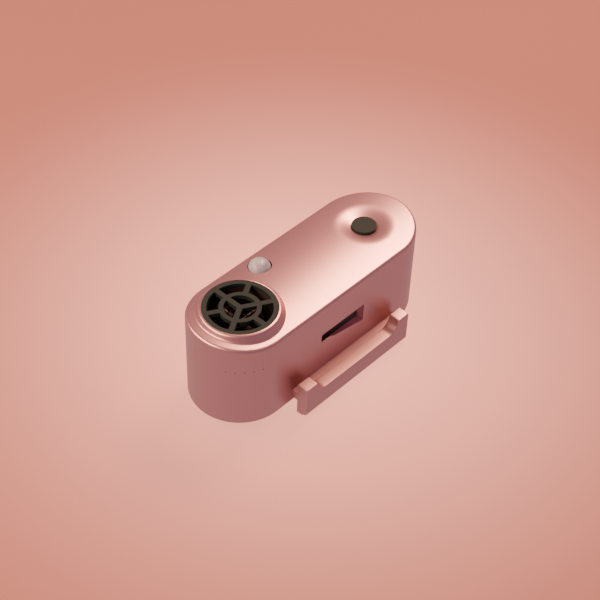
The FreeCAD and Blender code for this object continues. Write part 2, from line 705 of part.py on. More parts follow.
# ---------------------------------------------------------------- heater and fan
def heater_duct():
    return carve("heater_duct",
                 cylinder("duct_outside", "duct_outer", "duct_z", "ceiling_z", TURRET),
                 [cylinder("duct_inside", "duct_bore", "duct_z", "ceiling_z", TURRET)])


def coil_radii():
    return [f"(coil_first + {k} * coil_step)" for k in range(round(value("coil_count")))]


def heater_plate(label, along_x, slot_low):
    """One of two crossed mica plates: notched for the wire, and slotted half way for the other."""
    half = "mica_thickness / 2"
    middle = "(mica_low + mica_height / 2)"
    spans = ((f"-turret_x - duct_bore", f"-turret_x + duct_bore"), (f"-({half})", half))
    if not along_x:
        spans = ((f"-turret_x - {half}", f"-turret_x + {half}"), ("-duct_bore", "duct_bore"))
    plate = box(label + "_plate", *spans[0], *spans[1], "mica_low", "mica_top")
    cross = f"({half} + fit_gap / 3)"
    low, high = ("mica_low", middle) if slot_low else (middle, "mica_top")
    tools = [box(label + "_slot", f"-turret_x - {cross}", f"-turret_x + {cross}",
                 f"-{cross}", cross, low, high)]
    gap = "(coil_wire + fit_gap / 3)"
    for k, radius in enumerate(coil_radii()):
        for side, sign in (("near", "-"), ("far", "+")):
            lo, hi = f"0 {sign} {radius} - {gap}", f"0 {sign} {radius} + {gap}"
            for level, z0, z1 in (("top", "mica_top - 2 * coil_wire", "mica_top"),
                                  ("foot", "mica_low", "mica_low + 2 * coil_wire")):
                name = f"{label}_{level}_{side}_{k + 1}"
                if along_x:
                    tools.append(box(name, f"-turret_x + ({lo})", f"-turret_x + ({hi})",
                                     f"-({half})", half, z0, z1))
                else:
                    tools.append(box(name, f"-turret_x - {half}", f"-turret_x + {half}",
                                     lo, hi, z0, z1))
    cutter = carve(label, plate, tools)
    wall = cylinder(label + "_trim", "duct_bore", "mica_low", "mica_top", TURRET)
    item = doc.addObject("Part::Common", label + "_fitted")
    item.Base, item.Tool = cutter, wall
    cutter.Label = label + "_notched"
    item.Label = label
    return item


def heater_coil():
    """Rings of resistance wire laid in the notches, above and below the plates."""
    rings = []
    for level, z in (("top", "mica_top - coil_wire"), ("foot", "mica_low + coil_wire")):
        for k, radius in enumerate(coil_radii()):
            ring = doc.addObject("Part::Torus", f"coil_{level}_{k + 1}")
            bind(ring, Radius1=radius, Radius2="coil_wire", Placement__Base__x=TURRET,
                 Placement__Base__z=z)
            rings.append(ring)
    return group("heater_coil", rings)


def fan_frame():
    """The fan's ring, with a spider that carries the bearing tube, and three screw lugs."""
    body = new_body("fan_frame")
    ring = sketch(body, "fan_ring_circles", at=(TURRET, "0"), level="fan_z")
    circle(ring, "duct_outer")
    circle(ring, "fan_bore")
    pad(body, "fan_ring", ring, "fan_height")
    strut = sketch(body, "strut_outline", at=(TURRET, "0"), level="fan_z")
    rectangle(strut, "-(fan_bore + fan_wall / 2)", "-(bearing_radius + tube_wall / 2)",
              "-strut_width / 2", "strut_width / 2")
    first = pad(body, "strut", strut, "spider_thickness")
    around(body, "struts", first, strut, "N_Axis", "strut_count")
    plate = sketch(body, "spider_circle", at=(TURRET, "0"), level="fan_z")
    circle(plate, "spider_radius")
    pad(body, "spider_plate", plate, "spider_thickness")
    tube = sketch(body, "tube_circle", at=(TURRET, "0"), level="fan_z")
    circle(tube, "tube_radius")
    pad(body, "bearing_tube", tube, "tube_z - fan_z")
    lug = sketch(body, "lug_outline", at=(TURRET, "0"), level="duct_z - lug_height")
    circle(lug, "lug_radius", "-lug_reach", "0")
    first = pad(body, "lug", lug, "lug_height")
    around(body, "lugs", first, lug, "N_Axis", "strut_count")
    hole = sketch(body, "lug_hole_circle", at=(TURRET, "0"), level="duct_z - lug_height")
    circle(hole, "screw_radius + hole_gap", "-lug_reach", "0")
    first = pocket(body, "lug_hole", hole, "lug_height", onward=True)
    around(body, "lug_holes", first, hole, "N_Axis", "strut_count")
    relief = sketch(body, "lug_relief_circle", at=(TURRET, "0"), level="fan_z")
    circle(relief, "head_radius + hole_gap", "-lug_reach", "0")
    first = pocket(body, "lug_relief", relief, "fan_height - lug_height", onward=True)
    around(body, "lug_reliefs", first, relief, "N_Axis", "strut_count")
    bore = sketch(body, "tube_bore_circle", at=(TURRET, "0"), level="tube_z")
    circle(bore, "bearing_radius")
    pocket(body, "tube_bore", bore, "tube_z - fan_z - spider_thickness / 2")
    return body


def bearing(label, low):
    return carve(label, cylinder(label + "_outside", "bearing_radius", low,
                                 f"{low} + bearing_height", TURRET),
                 [cylinder(label + "_bore", "shaft_radius + running_gap", low,
                           f"{low} + bearing_height", TURRET)])


def motor_stator():
    """Four wound poles round the bearing tube."""
    outer = "(magnet_inner - stator_gap)"
    low, high = "hub_z + 0.4", "(hub_z + 0.4 + stator_height)"
    ring = cylinder("stator_disc", outer, low, high, TURRET)
    gaps = [box(f"stator_gap_{k}", f"-turret_x + {x0}", f"-turret_x + {x1}", y0, y1, low, high)
            for k, (x0, x1, y0, y1) in enumerate((
                ("tube_radius + 0.7", outer, "-0.5", "0.5"),
                (f"-{outer}", "-(tube_radius + 0.7)", "-0.5", "0.5"),
                ("-0.5", "0.5", "tube_radius + 0.7", outer),
                ("-0.5", "0.5", f"-{outer}", "-(tube_radius + 0.7)")))]
    return carve("motor_stator", ring,
                 [cylinder("stator_bore", "tube_radius", low, high, TURRET)] + gaps)


def fan_rotor():
    """A cup-shaped hub that hangs over the stator, with slanted blades."""
    body = new_body("fan_rotor")
    hub = sketch(body, "hub_profile", "XZ", at=(TURRET, "0"))
    outline(hub, (("shaft_radius", "hub_top"), ("shaft_radius", "spigot_z"),
                  ("shaft_radius + 1", "spigot_z"), ("shaft_radius + 1", "hub_top - hub_wall"),
                  ("magnet_outer", "hub_top - hub_wall"), ("magnet_outer", "hub_z"),
                  ("hub_radius", "hub_z"), ("hub_radius", "hub_top")))
    turn(body, "hub", hub)
    blade = sketch(body, "blade_outline", "XZ", at=(TURRET, "0"), level="hub_radius - hub_wall / 2")
    half, thick = "blade_chord / 2", "blade_thickness"
    low, high = "hub_z + 0.6", "hub_top - 1"
    outline(blade, ((f"-({half})", low), (f"-({half}) + {thick} * 1.4", low), (half, high),
                    (f"{half} - {thick} * 1.4", high)))
    first = pad(body, "blade", blade, "blade_reach - hub_radius + hub_wall / 2")
    around(body, "blades", first, hub, "V_Axis", "blade_count")
    return body


def magnet_ring():
    low, high = "hub_z", "hub_z + magnet_height"
    return carve("magnet_ring", cylinder("magnet_outside", "magnet_outer", low, high, TURRET),
                 [cylinder("magnet_bore", "magnet_inner", low, high, TURRET)])


def fan_shaft():
    return group("fan_shaft", [
        cylinder("shaft_rod", "shaft_radius", "fan_z + spider_thickness / 2 + 0.3", "hub_top",
                 TURRET)])


def fan_screws():
    return group("fan_screws", [
        screw(f"fan_screw_{i + 1}", "lug_height + short_screw_length", x, y, "duct_z - lug_height")
        for i, (x, y) in enumerate(fan_lugs())])


def intake_filter():
    """A framed mesh that lies on the base cover over the intake."""
    low, high = "cover_z", "cover_z + filter_thickness"
    disc = cylinder("filter_disc", "filter_radius", low, high, TURRET)
    span = "(filter_radius - 1)"
    tools = []
    count = int(value("filter_radius - 1") / value("filter_pitch"))
    for i in range(-count, count + 1):
        for j in range(-count, count + 1):
            x, y = f"({i} * filter_pitch)", f"({j} * filter_pitch)"
            gap = "(filter_pitch - filter_bar) / 2"
            if value(f"sqrt({x}^2 + {y}^2) + 1.45 * {gap} - {span}") > 0:
                continue
            tools.append(box(f"filter_hole_{i + count}_{j + count}",
                             f"-turret_x + {x} - {gap}", f"-turret_x + {x} + {gap}",
                             f"{y} - {gap}", f"{y} + {gap}", low, high))
    return carve("intake_filter", disc, tools)


# ---------------------------------------------------------------- button
def button_cap():
    """A flat cap with a flange that keeps it under the top."""
    body = new_body("button_cap")
    profile = sketch(body, "cap_profile", "XZ", at=("button_x", "0"))
    flange = "button_radius + button_flange"
    outline(profile, (("0", "button_low"), (flange, "button_low"),
                      (flange, "button_low + flange_thickness"),
                      ("button_radius", "button_low + flange_thickness"),
                      ("button_radius", "button_top - 0.3"), ("button_radius - 0.3", "button_top"),
                      ("0", "button_top")))
    turn(body, "cap", profile)
    return body


def switch_plunger():
    return group("switch_plunger", [
        cylinder("plunger_rod", "plunger_radius", "switch_top - plunger_depth", "button_low",
                 "button_x")])


def push_switch():
    half = "switch_side / 2"
    block = box("switch_block", f"button_x - {half}", f"button_x + {half}", f"-({half})", half,
                "board_top", "switch_top")
    well = cylinder("switch_well", "plunger_radius + 0.05",
                    "switch_top - plunger_depth - button_travel - 0.2", "switch_top", "button_x")
    return carve("push_switch", block, [well])


def button_spring():
    """A light coil of eight-sided wire between the control board and the cap's flange."""
    wire, radius = value("spring_wire"), value("spring_radius")
    height = value("button_low - board_top - fit_gap / 3") - 2 * wire
    path = Part.makeHelix(height / value("spring_turns"), height, radius)
    corners = [math.radians(22.5 + 45 * k) for k in range(9)]
    section = Part.makePolygon([
        FreeCAD.Vector(radius + wire * math.cos(a), 0, wire * math.sin(a)) for a in corners])
    item = doc.addObject("Part::Feature", "spring_coil")
    item.Shape = Part.Wire(path).makePipeShell([section], True, True)
    item.Placement = FreeCAD.Placement(
        FreeCAD.Vector(value("button_x"), 0, value("board_top") + wire), FreeCAD.Rotation())
    return group("button_spring", [item])


# ---------------------------------------------------------------- motion sensor
def sensor_lens():
    """A hollow dome on a short tube, with a flange that stays under the top."""
    outer = join("lens_outside", [
        cylinder("lens_tube", "lens_radius", "lens_low", "lens_z", "-lens_x", "lens_y"),
        cylinder("lens_flange_disc", "lens_radius + lens_flange", "lens_low", "ceiling_z",
                 "-lens_x", "lens_y"),
        ball("lens_dome", "lens_radius")])
    inner = join("lens_inside", [
        cylinder("lens_bore", "lens_radius - lens_wall", "lens_low", "lens_z", "-lens_x",
                 "lens_y"),
        ball("lens_hollow", "lens_radius - lens_wall")])
    return carve("sensor_lens", outer, [inner])


def ball(name, radius):
    item = doc.addObject("Part::Sphere", name)
    item.Angle1 = 0
    return bind(item, Radius=radius, Placement__Base__x="-lens_x", Placement__Base__y="lens_y",
                Placement__Base__z="lens_z")


def sensor_shroud():
    inner = "shroud_inner"
    return carve("sensor_shroud",
                 cylinder("shroud_outside", f"{inner} + shroud_wall", "board_top", "lens_low",
                          "-lens_x", "lens_y"),
                 [cylinder("shroud_bore", inner, "board_top", "lens_low", "-lens_x", "lens_y")])


def sensor_can():
    return group("sensor_can", [
        cylinder("can_case", "can_radius", "board_top", "board_top + can_height", "-lens_x",
                 "lens_y")])


# ---------------------------------------------------------------- boards and charging
def control_board():
    """The upper board: sensor, switch and lights' driver."""
    body = new_body("control_board")
    plan = sketch(body, "control_outline", level="board_low")
    trim = "(board_back - 9)"
    outline(plan, (("-board_near", "-board_front"), ("board_far", "-board_front"),
                   ("board_far", trim), ("board_far - 9", "board_back"),
                   ("-board_near", "board_back")))
    pad(body, "control_plate", plan, "board_thickness")
    holes = sketch(body, "control_hole_circles", level="board_low")
    for x, y in BOARD_BOSSES:
        circle(holes, "screw_radius + hole_gap", x, y)
    pocket(body, "control_holes", holes, onward=True)
    return body


def power_board():
    """The lower board: charging socket, charger and motor driver."""
    body = new_body("power_board")
    plan = sketch(body, "power_outline", level="power_low")
    rectangle(plan, "cradle_near + 0.5", "cradle_far - 0.5", "-power_front", "power_board_back")
    pad(body, "power_plate", plan, "board_thickness")
    holes = sketch(body, "power_hole_circles", level="power_low")
    for x, y in POWER_SCREWS:
        circle(holes, "screw_radius + hole_gap", x, y)
    pocket(body, "power_holes", holes, onward=True)
    return body


def board_chips():
    """Packages soldered on top of the power board."""
    chips = (("charger_chip", "cell_x - cell_length / 3", "-chip_side / 2", "chip_height"),
             ("choke", "cell_x", "chip_side", "choke_height"),
             ("motor_driver", "cell_x + cell_length / 6", "-chip_side / 2", "chip_height"),
             ("capacitor", "cell_x + cell_length / 3", "chip_side", "tank_height"))
    half = "chip_side / 2"
    return group("board_chips", [
        box(name, f"{x} - {half}", f"{x} + {half}", f"{y} - {half}", f"{y} + {half}",
            "power_top", f"power_top + {tall}") for name, x, y, tall in chips])


def port_panel():
    """The black panel at the back of the slot, pierced for the charging socket."""
    wide, tall = "(slot_length / 2 + lip_wall)", "(slot_height / 2 + lip_wall)"
    plate = box("panel_plate", f"slot_x - {wide}", f"slot_x + {wide}", "-slot_back",
                "-slot_back + panel_thickness", f"slot_z - {tall}", f"slot_z + {tall}")
    gap = "fit_gap / 3"
    hole = box("panel_hole", f"slot_x - port_width / 2 - {gap}", f"slot_x + port_width / 2 + {gap}",
               "-slot_back", "-slot_back + panel_thickness",
               f"slot_z - port_height / 2 - {gap}", f"slot_z + port_height / 2 + {gap}")
    return carve("port_panel", plate, [hole])


def charging_socket():
    """A small reversible socket: rounded metal shell, open at the front, tongue inside."""
    body = new_body("charging_socket")
    shell = sketch(body, "socket_outline", "XZ", at=("slot_x", "slot_z"), level="port_front")
    stadium(shell, "port_height / 2", "(port_width - port_height) / 2")
    pad(body, "socket_block", shell, "port_depth", back=True)
    mouth = sketch(body, "mouth_outline", "XZ", at=("slot_x", "slot_z"), level="port_front")
    stadium(mouth, "port_height / 2 - port_wall", "(port_width - port_height) / 2")
    pocket(body, "mouth", mouth, "port_depth - 1")
    tongue = sketch(body, "tongue_outline", "XZ", at=("slot_x", "slot_z"),
                    level="port_front - port_depth + 0.5")
    wide = "(port_width - port_height) / 2 + 0.4"
    rectangle(tongue, f"-({wide})", wide, "-tongue_height / 2", "tongue_height / 2")
    pad(body, "tongue", tongue, "port_depth - 1.3")
    return body


def battery_cell(label, sign):
    item = cylinder(label + "_can", "cell_radius", "0", "cell_length")
    item.Placement.Rotation = FreeCAD.Rotation(FreeCAD.Vector(0, 1, 0), 90)
    bind(item, Placement__Base__x="cell_x - cell_length / 2", Placement__Base__y=f"{sign} cell_y",
         Placement__Base__z="cell_z")
    return group(label, [item])


def cell_straps():
    straps = []
    for name, x0, x1 in (("near_strap", "cell_x - cell_end", "cell_x - cell_length / 2"),
                         ("far_strap", "cell_x + cell_length / 2", "cell_x + cell_end")):
        straps.append(box(name, x0, x1, "-(cell_y + strap_width / 2)", "cell_y + strap_width / 2",
                          "cell_z", "cell_z + strap_width"))
    return group("cell_straps", straps)


def battery_cradle():
    """A tray with two troughs, whose end walls carry the power board."""
    body = new_body("battery_cradle")
    plan = sketch(body, "cradle_outline", level="cover_z")
    rectangle(plan, "cradle_near", "cradle_far", "-cradle_half", "cradle_half")
    pad(body, "cradle_block", plan, "cell_z - cover_z")
    for name, x0, x1 in (("near_wall", "cradle_near", "cradle_near + cradle_wall"),
                         ("far_wall", "cradle_far - cradle_wall", "cradle_far")):
        wall = sketch(body, name + "_outline", level="cell_z")
        rectangle(wall, x0, x1, "-(power_front - 0.5)", "power_board_back - 0.5")
        pad(body, name, wall, "power_low - cell_z")
    for name, sign in (("front_trough", "-"), ("back_trough", "")):
        trough = sketch(body, name + "_circle", "YZ", level="cradle_near + cradle_wall")
        circle(trough, "cell_radius + cell_slack", f"{sign}cell_y", "cell_z")
        pocket(body, name, trough, "2 * cell_end", onward=True)
    lower = sketch(body, "cradle_pilot_circles", level="cover_z")
    for x in CRADLE_SCREWS:
        circle(lower, "screw_radius + thread_gap", x, "0")
    pocket(body, "cradle_pilots", lower, "short_screw_length", onward=True)
    upper = sketch(body, "power_pilot_circles", level="power_low")
    for x, y in POWER_SCREWS:
        circle(upper, "screw_radius + thread_gap", x, y)
    pocket(body, "power_pilots", upper, "short_screw_length")
    return body


def light_pipes():
    """Small clear pins through the wall, each with a wider inner head."""
    pins = []
    for i, angle in enumerate(light_angles()):
        pin_part = doc.addObject("Part::Cylinder", f"light_pin_{i + 1}")
        bind(pin_part, Radius="light_radius", Height="wall + strip_gap")
        pin_part.Placement = radial(angle, "strip_outer")
        head = doc.addObject("Part::Cylinder", f"light_head_{i + 1}")
        bind(head, Radius="light_foot", Height="strip_gap - 0.1")
        head.Placement = radial(angle, "strip_outer")
        pins.append(join(f"light_pipe_{i + 1}", [head, pin_part]))
    return group("light_pipes", pins)


def light_strip():
    """A curved strip that carries the lights behind their pipes."""
    angles = light_angles()
    low, high = value("light_z - strip_height / 2"), value("strip_height")
    centre = FreeCAD.Vector(-value("end_offset"), 0, low)
    outer, inner = value("strip_outer"), value("strip_outer - strip_thickness")
    margin = value("light_step_angle") / 2
    sweep = angles[-1] - angles[0] + 2 * margin
    sector = Part.makeCylinder(outer, high, centre, UP, sweep)
    core = Part.makeCylinder(inner, high, centre, UP)
    ring = sector.cut(core)
    ring.rotate(centre, UP, angles[0] - margin)
    item = doc.addObject("Part::Feature", "strip_arc")
    item.Shape = ring
    return group("light_strip", [item])


# ---------------------------------------------------------------- hook bracket
def hook_bracket():
    """An arm on the wall and an upright plate with an ear at each end."""
    body = new_body("hook_bracket")
    plate = sketch(body, "plate_outline", "XZ", level="plate_y")
    rectangle(plate, "bracket_low_x", "bracket_high_x", "0", "ear_z")
    pad(body, "plate", plate, "plate_thickness")
    saddle = sketch(body, "saddle_outline", "XZ", at=("bracket_x", "ear_z"), level="plate_y")
    stadium(saddle, "ear_rise", "bracket_length / 2 - ear_width - ear_rise")
    pocket(body, "saddle", saddle, onward=True)
    heel = sketch(body, "heel_outline", "YZ")
    outline(heel, (("-plate_front", "0"), ("-plate_front + heel_depth", "0"),
                   ("-plate_front", "heel_height")))
    slant = pocket(body, "heel", heel)
    slant.Midplane = True
    front, foot = value("-plate_front"), value("heel_height")

    def front_edge(points):
        return all(near(p.y, front) for p in points) and points[0].z > foot + 0.1
    dress(body, "Chamfer", "plate_bevel", slant, front_edge, "bracket_edge")
    arm = sketch(body, "arm_outline", "XZ", level="half_width")
    rectangle(arm, "bracket_low_x", "bracket_high_x", "plate_height - arm_height", "plate_height")
    pad(body, "arm", arm, "arm_reach")
    holes = sketch(body, "bracket_pilot_circles", "XZ", level="half_width")
    for x in BRACKET_SCREWS:
        circle(holes, "screw_radius + thread_gap", x, "plate_height - arm_height / 2")
    pocket(body, "bracket_pilots", holes, "short_screw_length", onward=True)
    return body


# ---------------------------------------------------------------- screws
def screw_sets():
    base = [screw(f"base_screw_{i + 1}", "base_screw_length", x, y, "rim_base + head_height")
            for i, (x, y) in enumerate(BASE_BOSSES)]
    cradle = [screw(f"cradle_screw_{i + 1}", "short_screw_length", x, "0",
                    "rim_base + head_height") for i, x in enumerate(CRADLE_SCREWS)]
    control = [screw(f"control_screw_{i + 1}", "short_screw_length", x, y, "board_low")
               for i, (x, y) in enumerate(BOARD_BOSSES)]
    power = [screw(f"power_screw_{i + 1}", "short_screw_length", x, y, "power_top",
                   FreeCAD.Vector(0, 0, -1)) for i, (x, y) in enumerate(POWER_SCREWS)]
    bracket = [screw(f"bracket_screw_{i + 1}", "short_screw_length + wall", x, "-inner_half",
                     "plate_height - arm_height / 2", FreeCAD.Vector(0, -1, 0))
               for i, x in enumerate(BRACKET_SCREWS)]
    sets = (("base_screws", base), ("cradle_screws", cradle), ("control_board_screws", control),
            ("power_board_screws", power), ("bracket_screws", bracket))
    return [group(label, screws) for label, screws in sets]


# ---------------------------------------------------------------- build and export
PIECES = [
    housing_shell(), base_cover(), rubber_feet(), outlet_grille(), heater_duct(),
    heater_plate("heater_plate_across", True, True),
    heater_plate("heater_plate_along", False, False), heater_coil(), fan_frame(),
    bearing("lower_bearing", "fan_z + spider_thickness / 2"),
    bearing("upper_bearing", "(tube_z - bearing_height)"), motor_stator(), fan_rotor(),
    magnet_ring(), fan_shaft(), fan_screws(), intake_filter(), button_cap(), switch_plunger(),
    push_switch(), button_spring(), sensor_lens(), sensor_shroud(), sensor_can(),
    control_board(), power_board(), board_chips(), port_panel(), charging_socket(),
    battery_cell("front_battery_cell", "-"), battery_cell("back_battery_cell", "+"),
    cell_straps(), battery_cradle(), light_pipes(), light_strip(), hook_bracket(),
] + screw_sets()

for piece in PIECES:
    bind(piece, Placement__Base__y="centring")
doc.recompute()
for item in doc.Objects:
    failed = {"Invalid", "Error"} & set(item.State)
    if failed:
        raise RuntimeError(f"{item.Name} ({item.Label}): {sorted(failed)}")
for piece in PIECES:
    if piece.Shape.isNull() or not piece.Shape.isValid():
        raise RuntimeError(f"{piece.Label} has no valid shape")

os.makedirs("parts", exist_ok=True)
for piece in PIECES:
    piece.Shape.exportStep(f"parts/{piece.Label}.step")
    print(f"{piece.Label}: {len(piece.Shape.Solids)} solid(s), {piece.Shape.Volume:.1f} mm3")
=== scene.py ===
import bpy
import bmesh
import json
import math
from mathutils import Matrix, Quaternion, Vector


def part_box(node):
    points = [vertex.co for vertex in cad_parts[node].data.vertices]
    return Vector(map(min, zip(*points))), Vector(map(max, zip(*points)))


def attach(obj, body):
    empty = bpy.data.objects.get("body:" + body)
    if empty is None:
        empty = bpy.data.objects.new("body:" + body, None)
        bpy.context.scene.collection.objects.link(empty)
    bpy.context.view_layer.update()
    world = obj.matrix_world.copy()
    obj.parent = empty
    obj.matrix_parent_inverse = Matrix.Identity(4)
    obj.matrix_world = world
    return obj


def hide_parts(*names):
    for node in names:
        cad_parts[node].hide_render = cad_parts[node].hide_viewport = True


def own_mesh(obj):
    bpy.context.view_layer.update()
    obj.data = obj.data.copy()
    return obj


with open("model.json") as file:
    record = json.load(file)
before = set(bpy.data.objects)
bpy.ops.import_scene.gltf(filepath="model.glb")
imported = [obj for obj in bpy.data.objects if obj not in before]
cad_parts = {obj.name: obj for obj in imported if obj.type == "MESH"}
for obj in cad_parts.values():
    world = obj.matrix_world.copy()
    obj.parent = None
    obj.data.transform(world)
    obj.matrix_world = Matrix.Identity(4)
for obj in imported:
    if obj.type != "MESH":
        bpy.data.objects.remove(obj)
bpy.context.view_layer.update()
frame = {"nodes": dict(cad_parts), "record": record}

# ---------------------------------------------------------------- stage
# A floor of rose acrylic whose own glow is a painted pool of light, with no lamp behind it:
# brightest in the middle and fading towards the corners. It lights nothing else, and the blower
# stands on it.
MM = 0.001
SHEET_HALF = 4.0                    # half the sheet's side, in metres
GLOW_SCALE = 3.9                    # the glow reaches 1 / 3.9 m
GLOW_SHIFT = (-0.07, -0.06, 0.0)    # and its middle lies a little towards the far end


def linear(code):
    """An sRGB hex colour as linear red, green, blue and alpha."""
    parts = [int(code[i:i + 2], 16) / 255 for i in (1, 3, 5)]
    return [c / 12.92 if c <= 0.04045 else ((c + 0.055) / 1.055) ** 2.4 for c in parts] + [1.0]


def add(tree, kind, sockets=None, **settings):
    """Adds a shader node, with its settings, its values and the links into its sockets."""
    item = tree.nodes.new("ShaderNode" + kind)
    for name, setting in settings.items():
        setattr(item, name, setting)
    for socket, given in (sockets or {}).items():
        if isinstance(given, bpy.types.NodeSocket):
            tree.links.new(given, item.inputs[socket])
        else:
            item.inputs[socket].default_value = given
    return item


def blank_material(name, **values):
    """A material with its shader's own values set; returns it, its tree and its shader."""
    made = bpy.data.materials.new(name)
    made.use_nodes = True
    shader = made.node_tree.nodes["Principled BSDF"]
    for socket, given in values.items():
        shader.inputs[socket.replace("_", " ")].default_value = given
    return made, made.node_tree, shader


# Matt acrylic without reflections, with a painted glow that is brightest under the blower.
acrylic, tree, shader = blank_material("rose_floor_painted_glow", Roughness=0.9,
                                       Base_Color=linear("#8E5A4C"))
place = add(tree, "TexCoord")
spread = add(tree, "Mapping", {"Vector": place.outputs["Object"], "Scale": (GLOW_SCALE,) * 3,
                               "Location": GLOW_SHIFT})
# The painted glow's falloff from its middle; no lamp stands behind it.
lamp = add(tree, "TexGradient", {"Vector": spread.outputs["Vector"]},
           gradient_type="QUADRATIC_SPHERE")
glow = add(tree, "MapRange", {"Value": lamp.outputs["Fac"], "To Min": 0.24, "To Max": 2.9})
hue = add(tree, "Mix", {"Factor": lamp.outputs["Fac"], "A": linear("#FFAC98"),
                        "B": linear("#FF997E")}, data_type="RGBA")
tree.links.new(hue.outputs["Result"], shader.inputs["Emission Color"])
tree.links.new(glow.outputs["Result"], shader.inputs["Emission Strength"])
bm = bmesh.new()
bmesh.ops.create_grid(bm, x_segments=2, y_segments=2, size=SHEET_HALF)
sheet = bpy.data.meshes.new("floor")
bm.to_mesh(sheet)
bm.free()
sheet.materials.append(acrylic)
floor = bpy.data.objects.new("floor", sheet)
floor.visible_glossy = False
floor.visible_diffuse = False
bpy.context.collection.objects.link(floor)

# ---------------------------------------------------------------- light and camera
# A warm soft box high over the far end gives the long gradient across the crowned top, a long
# strip beyond the near end draws the bright lines on its edges, and a rose surround fills in: it is
# bright below, as the glowing floor is, and dim and cooler above, so that upright walls glow and
# edges go dark.
world = bpy.data.worlds.new("surround")
world.use_nodes = True
sky = world.node_tree
around = add(sky, "TexCoord")
height = add(sky, "SeparateXYZ", {"Vector": around.outputs["Generated"]})
dimming = add(sky, "MapRange", {"Value": height.outputs["Z"], "From Min": -0.6, "From Max": 0.45,
                                "To Min": 1.06, "To Max": 0.5}, interpolation_type="SMOOTHSTEP")
cooler = add(sky, "MapRange", {"Value": height.outputs["Z"], "From Min": -0.6, "From Max": 0.45})
tone = add(sky, "Mix", {"Factor": cooler.outputs["Result"], "A": linear("#D4A0A2"),
                        "B": linear("#CFA2BC")}, data_type="RGBA")
sky.links.new(tone.outputs["Result"], sky.nodes["Background"].inputs["Color"])
sky.links.new(dimming.outputs["Result"], sky.nodes["Background"].inputs["Strength"])
bpy.context.scene.world = world
centre = (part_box("housing_shell")[0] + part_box("housing_shell")[1]) / 2
for name, toward, distance, size, watts, colour in (
        ("key_box", (0.60, 0.11, 0.80), 0.9, (0.34, 0.34), 12.0, "#FFBA9A"),
        ("edge_strip", (-0.62, 0.38, 0.62), 0.8, (0.9, 0.34), 13.0, "#FFC0A0")):
    lamp = bpy.data.lights.new(name, "AREA")
    lamp.shape = "RECTANGLE"
    lamp.size, lamp.size_y = size
    lamp.energy = watts
    lamp.color = linear(colour)[:3]
    light = bpy.data.objects.new(name, lamp)
    toward = Vector(toward).normalized()
    light.location = centre + toward * distance
    light.rotation_mode = "QUATERNION"
    light.rotation_quaternion = (-toward).to_track_quat("-Z", "Y")
    bpy.context.collection.objects.link(light)
lens = bpy.data.cameras.new("camera")
lens.lens = 85.22
lens.sensor_width = 36.0
camera = bpy.data.objects.new("camera", lens)
camera.location = (-0.36894, -0.323485, 0.51083)
aim = Vector((-0.00246, 0.004775, 0.03367)) - camera.location
camera.rotation_mode = "QUATERNION"
roll = Quaternion((0.0, 0.0, 1.0), math.radians(2.125))
camera.rotation_quaternion = aim.to_track_quat("-Z", "Y") @ roll
bpy.context.collection.objects.link(camera)
bpy.context.scene.camera = camera

# ---------------------------------------------------------------- housing
# One black ABS moulding, hollow below, sprayed outside with a rose metallic lacquer: a stadium with
# a crowned top, a shallow dish for the button, a turret for the outlet and a slot in the front.
low, high = (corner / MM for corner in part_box("housing_shell"))
MIDDLE = Vector(((low.x + high.x) / 2, (low.y + high.y) / 2, 0.0))
HALF = (high.y - low.y) / 2
WALL = 2.2
INSIDE, END = HALF - WALL, (high.x - low.x) / 2 - HALF
FOOT, CEILING, EDGE = 5.2, 50.3, 52.7   # heights of the wall's foot, and of the top below and above
ROUND, LOWER_ROUND = 1.5, 1.4           # roundings of the upper and the lower edge
RING, RINGS = 0.5, 47                   # the top's rings, which carry its crown and dish
CROWN = 134.0                           # the crown's radius
CROWN_Z = EDGE + CROWN - math.sqrt(CROWN ** 2 - HALF ** 2)
BUTTON, DISH, DISH_DEPTH = Vector((42.5, 0.0, 0.0)), 15.5, 3.4
LENS = Vector((-14.75, 15.4, 0.0))
TURRET = Vector((-43.2, 0.0, 0.0))


def crown(y):
    """Height of the crowned top above the ground at a distance from the middle line."""
    return CROWN_Z - CROWN + math.sqrt(CROWN ** 2 - y * y)


def soft_min(a, b, width):
    """The lower of two heights, rounded where they cross."""
    near = max(width - abs(a - b), 0.0) / width
    return min(a, b) - near * near * width / 4


def soft_max(a, b, width):
    """The higher of two heights, rounded where they cross."""
    return -soft_min(-a, -b, width)


def row(bm, points):
    """A row of joined vertices, to be spun or swept."""
    verts = [bm.verts.new(p) for p in points]
    return verts + [bm.edges.new(pair) for pair in zip(verts, verts[1:])]


def rounded(middle, radius, first, last, steps=6):
    """Points of an arc in (radius, height), between two angles in degrees."""
    turns = [math.radians(first + (last - first) * k / steps) for k in range(steps + 1)]
    return [(middle[0] + radius * math.cos(t), middle[1] + radius * math.sin(t)) for t in turns]


def stadium_sweep(bm, profile, arc_steps=48, run_steps=70):
    """Carries a row of (radius, height) points round both ends and along both sides."""
    last = row(bm, [(END, -r, z) for r, z in profile])
    for side in (1, -1):
        last = bmesh.ops.spin(bm, geom=last, cent=(side * END, 0, 0), axis=(0, 0, 1),
                              angle=math.pi, steps=arc_steps)["geom_last"]
        last = bmesh.ops.spin(bm, geom=last, cent=(0, 0, 0), axis=(0, 0, 1), angle=0.0,
                              dvec=(-side * 2 * END / run_steps, 0, 0),
                              steps=run_steps)["geom_last"]
    bmesh.ops.remove_doubles(bm, verts=bm.verts, dist=0.005)
    bmesh.ops.recalc_face_normals(bm, faces=bm.faces)


